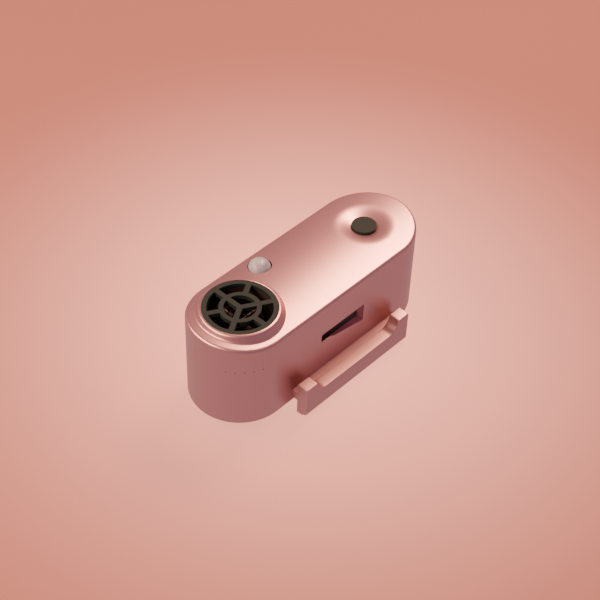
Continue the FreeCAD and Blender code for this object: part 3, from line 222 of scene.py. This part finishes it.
def full_spin(bm, profile, middle, steps=96):
    """Turns a row of (radius, height) points round an upright axis; closes it at both ends."""
    start = row(bm, [(middle.x + r, middle.y, h) for r, h in profile])
    bmesh.ops.spin(bm, geom=start, cent=middle, axis=(0, 0, 1), angle=2 * math.pi, steps=steps,
                   use_merge=True)
    bmesh.ops.remove_doubles(bm, verts=bm.verts, dist=0.005)
    bmesh.ops.recalc_face_normals(bm, faces=bm.faces)


def make(bm, name, *materials):
    """Makes an object of a shape, which is used up."""
    mesh = bpy.data.meshes.new(name)
    bm.to_mesh(mesh)
    bm.free()
    for material in materials:
        mesh.materials.append(material)
    made = bpy.data.objects.new(name, mesh)
    bpy.context.collection.objects.link(made)
    return made


def combine(piece, tool, operation):
    """Joins or cuts a piece with a tool, which is used up."""
    mod = piece.modifiers.new("combine", "BOOLEAN")
    mod.object, mod.operation, mod.solver = tool, operation, "EXACT"
    graph = bpy.context.evaluated_depsgraph_get()
    fresh = bpy.data.meshes.new_from_object(piece.evaluated_get(graph))
    piece.modifiers.clear()
    old, piece.data = piece.data, fresh
    fresh.name = old.name
    for worn in (old, tool.data):
        bpy.data.meshes.remove(worn)


def settle(piece, crease=32.0):
    """Brings a piece from millimetres about the housing's middle to metres and its place, and
    shades it smooth up to the crease angle."""
    bm = bmesh.new()
    bm.from_mesh(piece.data)
    bmesh.ops.translate(bm, vec=MIDDLE, verts=bm.verts)
    bmesh.ops.scale(bm, vec=(MM, MM, MM), verts=bm.verts)
    for face in bm.faces:
        face.smooth = True
    for edge in bm.edges:
        edge.smooth = len(edge.link_faces) == 2 and edge.calc_face_angle(0.0) < math.radians(crease)
    bm.to_mesh(piece.data)
    bm.free()
    even = piece.modifiers.new("even normals", "WEIGHTED_NORMAL")
    even.keep_sharp = True


def rose_lacquer(name, metallic, roughness):
    """Sprayed rose lacquer with aluminium flake: it shines like satin metal, with a faint sparkle
    and a slight peel. Real flakes are under 0.1 mm; they are drawn coarser, so that they show."""
    made, tree, shader = blank_material(name, Metallic=metallic, Roughness=roughness)
    place = add(tree, "TexCoord")
    flake = add(tree, "TexVoronoi", {"Vector": place.outputs["Object"], "Scale": 1 / (0.35 * MM)})
    tint = add(tree, "Mix", {"Factor": flake.outputs["Color"], "A": linear("#CAA4A0"),
                             "B": linear("#D2ACA8")}, data_type="RGBA")
    peel = add(tree, "TexNoise", {"Vector": place.outputs["Object"], "Scale": 1 / (1.6 * MM),
                                  "Detail": 2.0})
    bump = add(tree, "Bump", {"Height": peel.outputs["Fac"], "Strength": 0.03,
                              "Distance": 0.02 * MM})
    tree.links.new(tint.outputs["Result"], shader.inputs["Base Color"])
    tree.links.new(bump.outputs["Normal"], shader.inputs["Normal"])
    return made


def moulded_plastic(name, dark, light, roughness, grain, gloss=0.5):
    """Moulded plastic: two close shades and the mould's eroded grain, which takes the shine off.
    The grain is given in millimetres, a little coarser than a real one, so that it shows."""
    made, tree, shader = blank_material(name, Roughness=roughness, Specular_IOR_Level=gloss)
    place = add(tree, "TexCoord")
    mottle = add(tree, "TexNoise", {"Vector": place.outputs["Object"], "Scale": 1 / (6 * MM),
                                    "Detail": 3.0})
    shade = add(tree, "Mix", {"Factor": mottle.outputs["Fac"], "A": linear(dark),
                              "B": linear(light)}, data_type="RGBA")
    eroded = add(tree, "TexNoise", {"Vector": place.outputs["Object"], "Scale": 1 / (grain * MM),
                                    "Detail": 2.0})
    relief = add(tree, "Bump", {"Height": eroded.outputs["Fac"], "Strength": 0.15,
                                "Distance": 0.03 * MM})
    tree.links.new(shade.outputs["Result"], shader.inputs["Base Color"])
    tree.links.new(relief.outputs["Normal"], shader.inputs["Normal"])
    return made


lacquer = rose_lacquer("rose_flake_lacquer", 0.9, 0.35)
# Bare black ABS inside, where the spray doesn't reach: matt, it keeps the openings dark.
bare_abs = moulded_plastic("bare_black_abs", "#2E2A24", "#39342C", 0.6, 0.5, 0.3)
# Painted light in the slot: a flat, brighter rose without flake, which lifts the slot's shade so
# that it looks dark red and not black.
slot_painted_light = moulded_plastic("rose_slot_painted_light", "#E6A2A2", "#ECAAAA", 0.6, 0.8, 0.3)
BARE, PAINTED_LIGHT = 1, 2                     # the slots of these two on the housing

bm = bmesh.new()
top = [(RING * k, EDGE) for k in range(RINGS)]
edge = rounded((HALF - ROUND, EDGE - ROUND), ROUND, 90, 0, 8)
wall = [(HALF, z) for z in (51.0, 48.0, 40.0, 30.0, 20.0, 10.0)]
lower = rounded((HALF - LOWER_ROUND, FOOT + LOWER_ROUND), LOWER_ROUND, 0, -90)
inner = [(INSIDE, FOOT), (INSIDE, 20.0), (INSIDE, 40.0), (INSIDE, CEILING), (12.0, CEILING)]
stadium_sweep(bm, top + edge + wall + lower + inner + [(0.0, CEILING)])
for vert in bm.verts:
    x, y, z = vert.co
    if z < EDGE - ROUND - 0.01:
        continue
    lift = crown(y) - EDGE
    away = math.hypot(x - BUTTON.x, y)
    if away < DISH and z > EDGE - 0.01:
        lift -= DISH_DEPTH * (1 + math.cos(math.pi * away / DISH)) / 2
    vert.co.z = z + lift
housing = make(bm, "housing_moulding", lacquer, bare_abs, slot_painted_light)

# The turret is one with the top: a slanted rim, a steep flank and a hollow blend at its foot.
RIM, SEAT, ROOT = 57.5, 55.1, 51.0      # heights of the rim, the grille's seat and the inner end
BORE, POCKET, LEDGE, SKIRT = 15.0, 17.85, 18.25, 23.5   # radii, from the air's way to the foot
SHOULDER, SHOULDER_DROP = 19.2, 0.45    # where the flank starts, and how far under the rim
RIM_FALL, FLANK_FALL = 0.35, 1.78       # slopes of the rim and the flank
bm = bmesh.new()
flank = [LEDGE + 0.15 * k for k in range(36)]
full_spin(bm, [(BORE, ROOT), (BORE, SEAT), (POCKET, SEAT), (POCKET, RIM - 0.15), (18.0, RIM)]
          + [(r, RIM) for r in flank] + [(SKIRT, ROOT), (BORE, ROOT)], TURRET, 144)
for vert in bm.verts:
    r = math.hypot(vert.co.x - TURRET.x, vert.co.y)
    if r < LEDGE - 0.05 or vert.co.z < RIM - 0.01:
        continue
    slant = RIM - (r - LEDGE) * RIM_FALL
    cone = RIM - SHOULDER_DROP - (r - SHOULDER) * FLANK_FALL
    vert.co.z = soft_max(soft_min(slant, cone, 0.6), crown(vert.co.y) + 0.01, 0.9)
combine(housing, make(bm, "turret"), "UNION")

# The front wall is thick behind the slot. The opening's lower edge stands high at the outlet's end
# and falls under the plug towards the button's end; the square recess behind it holds the socket.
SLOT_LEFT, SLOT_RIGHT, SLOT_LOW, SLOT_TOP = -14.1, 15.7, 24.85, 35.55
SLOT_X, SLOT_HALF = 0.8, 15.0           # its middle, and a little over half its width
LIP, LIP_END = 30.4, -7.4               # the high edge, and where it ends
PLUG_WAY = (-4.4, 28.7)                 # a corner of the edge under the plug
RECESS, LIP_CUT = (-24.5, -18.0), (-30.0, -24.2)    # where each cutter starts and ends in the wall
THICK, THICK_BACK = Vector((32.2, 3.2, 13.1)), -20.8    # the wall's thick part, and its inner face
SLOT_CORNER, BRIM = 0.9, 0.28           # roundings of the corners and of the lip
bm = bmesh.new()
bmesh.ops.create_cube(bm, size=1.0)
bmesh.ops.scale(bm, vec=THICK, verts=bm.verts)
bmesh.ops.translate(bm, vec=(SLOT_X, THICK_BACK - THICK.y / 2, (SLOT_LOW + SLOT_TOP) / 2),
                    verts=bm.verts)
combine(housing, make(bm, "slot_wall"), "UNION")
for lower, (outside, inside) in (
        (((SLOT_LEFT, SLOT_LOW), (SLOT_RIGHT, SLOT_LOW)), RECESS),
        (((SLOT_LEFT, LIP), (LIP_END, LIP), PLUG_WAY, (SLOT_RIGHT, SLOT_LOW)), LIP_CUT)):
    bm = bmesh.new()
    corners = lower + ((SLOT_RIGHT, SLOT_TOP), (SLOT_LEFT, SLOT_TOP))
    face = bm.faces.new([bm.verts.new((x, outside, z)) for x, z in corners])
    grown = bmesh.ops.extrude_face_region(bm, geom=[face])["geom"]
    bmesh.ops.translate(bm, vec=(0, inside - outside, 0),
                        verts=[v for v in grown if isinstance(v, bmesh.types.BMVert)])
    bmesh.ops.recalc_face_normals(bm, faces=bm.faces)
    ends = [e for e in bm.edges if abs(e.verts[0].co.y - e.verts[1].co.y) > 3
            and e.verts[0].co.x < 0]
    bmesh.ops.bevel(bm, geom=ends, offset=SLOT_CORNER, offset_type="OFFSET", segments=5,
                    profile=0.5, affect="EDGES", material=-1)
    combine(housing, make(bm, "slot_cutter"), "DIFFERENCE")

# Holes for the outlet, the button and the lens.
OUTLET_HOLE, BUTTON_HOLE, LENS_HOLE = 15.6, 6.4, 5.87
for middle, radius in ((TURRET, OUTLET_HOLE), (BUTTON, BUTTON_HOLE), (LENS, LENS_HOLE)):
    bm = bmesh.new()
    bmesh.ops.create_cone(bm, cap_ends=True, segments=96, radius1=radius, radius2=radius,
                          depth=30.0)
    bmesh.ops.translate(bm, vec=middle + Vector((0, 0, 55.0)), verts=bm.verts)
    combine(housing, make(bm, "round_cutter"), "DIFFERENCE")

# The lip's outer edge is eased. The spray covers the outside alone: the hollow and the outlet's
# bore stay bare, and the slot's own faces get the brighter rose of painted light.
bm = bmesh.new()
bm.from_mesh(housing.data)
brim = []
for e in bm.edges:
    left, right = sorted(v.co.x for v in e.verts)
    under, over = sorted(v.co.z for v in e.verts)
    if (e.calc_face_angle(0.0) > 0.5 and all(abs(v.co.y + HALF) < 0.02 for v in e.verts)
            and SLOT_LEFT + 0.85 < left < SLOT_RIGHT - 0.1 and right < SLOT_RIGHT + 0.05
            and SLOT_LOW - 0.05 < under and over < LIP + 0.05):
        brim.append(e)
bmesh.ops.bevel(bm, geom=brim, offset=BRIM, offset_type="OFFSET", segments=2, profile=0.5,
                affect="EDGES", material=-1)
for face in bm.faces:
    x, y, z = face.calc_center_median()
    bore = math.hypot(x - TURRET.x, y) < OUTLET_HOLE + 0.2
    hollow = math.hypot(max(abs(x) - END, 0.0), y) < INSIDE + 0.05 and z < CEILING + 0.05
    beside = abs(x - SLOT_X) > SLOT_HALF
    if bore or (hollow and (beside or y > THICK_BACK)):
        face.material_index = BARE
    # The slot's own faces take the painted light that lifts their shade.
    elif (not beside and RECESS[0] - 0.2 < y < THICK_BACK + 0.8
          and SLOT_LOW - 0.1 < z < SLOT_TOP + 0.1):
        face.material_index = PAINTED_LIGHT
bm.to_mesh(housing.data)
bm.free()
settle(housing)
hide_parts("housing_shell")
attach(housing, "housing")

# ---------------------------------------------------------------- hook bracket
# A separate ABS moulding in rose lacquer, screwed to the front wall from inside: a plate with an
# ear at each end and a saddle between them, whose tops fall a little outwards, on an arm along its
# back. Its edges are rounded over.
near, far = (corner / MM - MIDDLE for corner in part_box("hook_bracket"))
EAR_TOP, SADDLE, ARM_LOW = far.z, 13.1, 8.1     # heights
RISE, EAR = EAR_TOP - SADDLE, 7.6       # the ears' height over the saddle, and their width
BACK, FALL = -28.2, 0.07                # the plate's back, and the slope of its tops
CHAMFER_HIGH, CHAMFER_DEEP = 2.2, 3.6   # along the plate's lower front edge
PLATE_ROUND = 0.7
INTO_PLATE, INSET = 1.0, 0.1            # the arm's overlap with the plate, and setback elsewhere
PILOT, PILOT_Z = 1.05, 10.6             # the screw holes' radius and height
outline = [(near.x, 0.0), (far.x, 0.0), (far.x, EAR_TOP)]
outline += rounded((far.x - EAR - RISE, EAR_TOP), RISE, 0, -90, 16)
outline += rounded((near.x + EAR + RISE, EAR_TOP), RISE, -90, -180, 16) + [(near.x, EAR_TOP)]
bm = bmesh.new()
face = bm.faces.new([bm.verts.new((x, BACK, z)) for x, z in outline])
grown = bmesh.ops.extrude_face_region(bm, geom=[face])["geom"]
bmesh.ops.translate(bm, vec=(0, near.y - BACK, 0),
                    verts=[v for v in grown if isinstance(v, bmesh.types.BMVert)])
for vert in bm.verts:
    if vert.co.z > SADDLE - 0.1:
        vert.co.z -= (far.y - vert.co.y) * FALL
bmesh.ops.bisect_plane(bm, geom=bm.verts[:] + bm.edges[:] + bm.faces[:], clear_outer=True,
                       plane_co=(0, near.y, CHAMFER_HIGH),
                       plane_no=(0, -CHAMFER_HIGH, -CHAMFER_DEEP))
bmesh.ops.holes_fill(bm, edges=bm.edges, sides=0)
bmesh.ops.recalc_face_normals(bm, faces=bm.faces)
rims = [e for e in bm.edges if e.calc_face_angle(0.0) > math.radians(30) and e.verts[0].co.z > 1.0
        and e.verts[1].co.z > 1.0]
bmesh.ops.bevel(bm, geom=rims, offset=PLATE_ROUND, offset_type="OFFSET", segments=4,
                profile=0.5, affect="EDGES", material=-1)
# The bracket is sprayed apart, in a softer coat: paler, with wider and duller highlights.
satin_lacquer = rose_lacquer("rose_satin_lacquer", 0.75, 0.42)
bracket = make(bm, "bracket_moulding", satin_lacquer)
bm = bmesh.new()
bmesh.ops.create_cube(bm, size=1.0)
bmesh.ops.scale(bm, vec=(far.x - near.x - INSET, far.y - BACK + INTO_PLATE,
                         SADDLE - ARM_LOW - INSET), verts=bm.verts)
bmesh.ops.translate(bm, vec=((near.x + far.x) / 2, (BACK + far.y - INTO_PLATE) / 2,
                             (SADDLE + ARM_LOW - INSET) / 2), verts=bm.verts)
for vert in bm.verts:
    if vert.co.z > SADDLE - 2 * INSET:
        vert.co.z -= (far.y - vert.co.y) * FALL
combine(bracket, make(bm, "arm"), "UNION")
for x in (-1, 0, 1):
    bm = bmesh.new()
    bmesh.ops.create_cone(bm, cap_ends=True, segments=32, radius1=PILOT, radius2=PILOT,
                          depth=10.0)
    bmesh.ops.rotate(bm, cent=(0, 0, 0), verts=bm.verts,
                     matrix=Quaternion((1.0, 0.0, 0.0), math.pi / 2).to_matrix())
    across = (near.x + far.x) / 2 + x * (far.x - near.x) / 3
    bmesh.ops.translate(bm, vec=(across, -HALF, PILOT_Z), verts=bm.verts)
    combine(bracket, make(bm, "screw_pilot"), "DIFFERENCE")
settle(bracket)
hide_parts("hook_bracket")
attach(bracket, "housing")

# ---------------------------------------------------------------- outlet grille
# A glass-filled nylon moulding in dark olive, pressed into the turret: a rim, rings and bars with
# softened edges. The frame's own shape is kept, merged and eased.
EASED_EDGE = 0.35
# Moulded nylon stays matt, so the bars read as dark lines over the dark bore.
olive_nylon = moulded_plastic("olive_nylon", "#1F302F", "#273735", 0.6, 0.4, 0.18)
bm = bmesh.new()
bm.from_mesh(frame["nodes"]["outlet_grille"].data)
bmesh.ops.remove_doubles(bm, verts=bm.verts, dist=1e-6)
bmesh.ops.dissolve_limit(bm, angle_limit=math.radians(0.5), verts=bm.verts, edges=bm.edges)
for face in bm.faces:
    face.smooth = True
grille = make(bm, "outlet_grille_eased", olive_nylon)
bevel = grille.modifiers.new("eased edges", "BEVEL")
bevel.width, bevel.segments, bevel.limit_method = EASED_EDGE * MM, 3, "ANGLE"
bevel.angle_limit = math.radians(30.0)
grille.modifiers.new("even normals", "WEIGHTED_NORMAL")
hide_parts("outlet_grille")
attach(grille, "housing")

# ---------------------------------------------------------------- push button
# A flat cap of the same olive nylon with a rounded rim, kept in by a flange under the top.
CAP, CAP_TOP, CAP_ROUND = 6.25, 54.3, 0.4
FLANGE, FLANGE_TOP, FLANGE_LOW = 7.35, 50.15, 48.95
bm = bmesh.new()
full_spin(bm, [(0.0, CAP_TOP), (3.0, CAP_TOP)]
          + rounded((CAP - CAP_ROUND, CAP_TOP - CAP_ROUND), CAP_ROUND, 90, 0)
          + [(CAP, 51.0), (CAP, FLANGE_TOP), (FLANGE, FLANGE_TOP), (FLANGE, FLANGE_LOW),
             (0.0, FLANGE_LOW)], BUTTON)
button = make(bm, "button_cap_turned", olive_nylon)
settle(button)
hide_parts("button_cap")
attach(button, "button")

# ---------------------------------------------------------------- sensor lens
# A milky polyethylene dome, moulded in rings of small flat facets that gather light from all
# sides, with a thin flange that is glued under the top.
DOME, DOME_Z, FACETS = 5.75, 52.05, 24
LENS_FLANGE, LENS_FLANGE_LOW = 6.35, CEILING - 1.15
# Polyethylene scatters light inside, so that the dome looks soft and cloudy between its glints.
milky, tree, shader = blank_material("milky_polyethylene", Roughness=0.32, Subsurface_Weight=0.3,
                                     Subsurface_Scale=1.0 * MM)
place = add(tree, "TexCoord")
cloud = add(tree, "TexNoise", {"Vector": place.outputs["Object"], "Scale": 1 / (2.5 * MM),
                               "Detail": 2.0})
shade = add(tree, "Mix", {"Factor": cloud.outputs["Fac"], "A": linear("#87989F"),
                          "B": linear("#BCCDD4")}, data_type="RGBA")
tree.links.new(shade.outputs["Result"], shader.inputs["Base Color"])
bm = bmesh.new()
full_spin(bm, [(0.0, DOME_Z + DOME)] + rounded((0.0, DOME_Z), DOME, 80, 20, 5)
          + [(DOME, DOME_Z), (DOME, CEILING), (LENS_FLANGE, CEILING),
             (LENS_FLANGE, LENS_FLANGE_LOW), (0.0, LENS_FLANGE_LOW)], LENS, FACETS)
dome = make(bm, "lens_dome", milky)
settle(dome, 10.0)
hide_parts("sensor_lens")
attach(dome, "housing")

# ---------------------------------------------------------------- inner and lower pieces
# Everything under the top and in the base keeps its frame shape and gets its own finish.
finishes = {
    # Moulded ABS and nylon look dull and even, and the two dark ones hide what lies deep inside.
    "base_plastic": moulded_plastic("rose_brown_abs", "#8A5C55", "#95655D", 0.5, 0.5),
    "inner_plastic": moulded_plastic("black_nylon", "#332E26", "#3D372E", 0.45, 0.4),
    "grey_plastic": moulded_plastic("grey_nylon", "#5A5C60", "#66686C", 0.45, 0.4),
    # Smoked acrylic is smooth and reddish, so that the lights behind it stay faint marks.
    "clear_plastic": moulded_plastic("smoked_acrylic", "#A86E68", "#B07670", 0.3, 0.4),
    # Rubber is black and dead matt; mica is layered, brownish and half glossy.
    "foot_rubber": moulded_plastic("black_rubber", "#1D1B1B", "#262323", 0.8, 0.6),
    "mica": moulded_plastic("mica_sheet", "#4C4942", "#5C5850", 0.35, 0.8),
    # Solder mask, epoxy and shrink wrap are smooth dyed skins with soft broad highlights.
    "board": moulded_plastic("green_solder_mask", "#1B4A2D", "#245A38", 0.35, 0.3),
    "chip_plastic": moulded_plastic("black_epoxy", "#131313", "#1B1B1B", 0.5, 0.2),
    "cell_wrap": moulded_plastic("blue_shrink_wrap", "#27507A", "#2E5B8A", 0.3, 0.6),
    # Pressed ferrite and woven nylon are grey-black and swallow the light.
    "magnet": moulded_plastic("bonded_ferrite", "#2C2C2E", "#363638", 0.6, 0.3),
    "filter_mesh": moulded_plastic("woven_nylon", "#202020", "#2C2C2C", 0.7, 0.3),
}


def drawn_metal(name, dark, light, roughness, grain):
    """Drawn or turned metal: bright, with close shades along fine lines. Their spacing is given in
    millimetres, coarser than real tool marks, so that it shows."""
    made, tree, shader = blank_material(name, Metallic=1.0, Roughness=roughness)
    place = add(tree, "TexCoord")
    along = add(tree, "Mapping", {"Vector": place.outputs["Object"], "Scale": (1.0, 1.0, 6.0)})
    lines = add(tree, "TexNoise", {"Vector": along.outputs["Vector"], "Scale": 1 / (grain * MM),
                                   "Detail": 3.0})
    shade = add(tree, "Mix", {"Factor": lines.outputs["Fac"], "A": linear(dark),
                              "B": linear(light)}, data_type="RGBA")
    relief = add(tree, "Bump", {"Height": lines.outputs["Fac"], "Strength": 0.1,
                                "Distance": 0.01 * MM})
    tree.links.new(shade.outputs["Result"], shader.inputs["Base Color"])
    tree.links.new(relief.outputs["Normal"], shader.inputs["Normal"])
    return made


finishes.update({
    # Heating wire is oxidised nearly black; plated, spring and ground steel grow steadily brighter.
    "heating_wire": drawn_metal("resistance_wire", "#211E1C", "#2B2825", 0.45, 0.4),
    "screw_steel": drawn_metal("zinc_plated_steel", "#9FA1A4", "#B9BBBE", 0.3, 0.3),
    "spring_steel": drawn_metal("spring_wire", "#A8A9AC", "#BDBEC1", 0.25, 0.2),
    "shaft_steel": drawn_metal("ground_steel", "#B4B5B8", "#C8C9CC", 0.2, 0.3),
    # Sintered bronze is a dull gold, and enamelled copper a glossy red brown.
    "bearing_brass": drawn_metal("sintered_bronze", "#A9804B", "#BC9159", 0.45, 0.2),
    "copper_winding": drawn_metal("enamelled_copper", "#A5562F", "#BC673B", 0.35, 0.3),
    # The socket's drawn steel is cool and clean, and nickel strip a little yellow.
    "socket_steel": drawn_metal("drawn_steel", "#A9AAAD", "#BFC0C3", 0.3, 0.3),
    "strap_nickel": drawn_metal("nickel_strip", "#B0ABA0", "#C2BDB2", 0.3, 0.4),
})
for part in frame["record"]["subparts"]:
    if part["material_slot"] in finishes:
        frame["nodes"][part["node"]].material_slots[0].material = finishes[part["material_slot"]]
# The panel in the slot is ABS from a spark-eroded mould: matt and a shade lighter than the rest, so
# that it shows in the slot's shade.
eroded_abs = moulded_plastic("eroded_grey_abs", "#4E504C", "#5A5C57", 0.7, 0.4)
frame["nodes"]["port_panel"].material_slots[0].material = eroded_abs

# ---------------------------------------------------------------- return spring
# A coil of spring wire with open ends, standing on the control board under the cap. The cap's
# flange presses it down by the button's whole travel.
low, high = (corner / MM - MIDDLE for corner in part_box("button_spring"))
WIRE, TURNS, STEPS = 0.21, 4, 24        # the wire's radius, its turns, and the steps in each turn
middle = Vector(((low.x + high.x) / 2, (low.y + high.y) / 2, 0.0))
coil = (high.x - low.x) / 2 - WIRE
bm = bmesh.new()
start = bmesh.ops.create_circle(bm, segments=8, radius=WIRE)["verts"]
bmesh.ops.rotate(bm, cent=(0, 0, 0), verts=start,
                 matrix=Quaternion((1.0, 0.0, 0.0), math.pi / 2).to_matrix())
bmesh.ops.translate(bm, vec=(middle.x + coil, middle.y, low.z + WIRE), verts=start)
bmesh.ops.spin(bm, geom=start + list({e for v in start for e in v.link_edges}), cent=middle,
               axis=(0, 0, 1), angle=2 * math.pi * TURNS, steps=STEPS * TURNS,
               dvec=(0, 0, (high.z - low.z - 2 * WIRE) / (STEPS * TURNS)))
bmesh.ops.holes_fill(bm, edges=bm.edges, sides=0)
bmesh.ops.recalc_face_normals(bm, faces=bm.faces)
spring = make(bm, "return_spring", finishes["spring_steel"])
settle(spring, 50.0)
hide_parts("button_spring")
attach(spring, "housing")
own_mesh(spring)
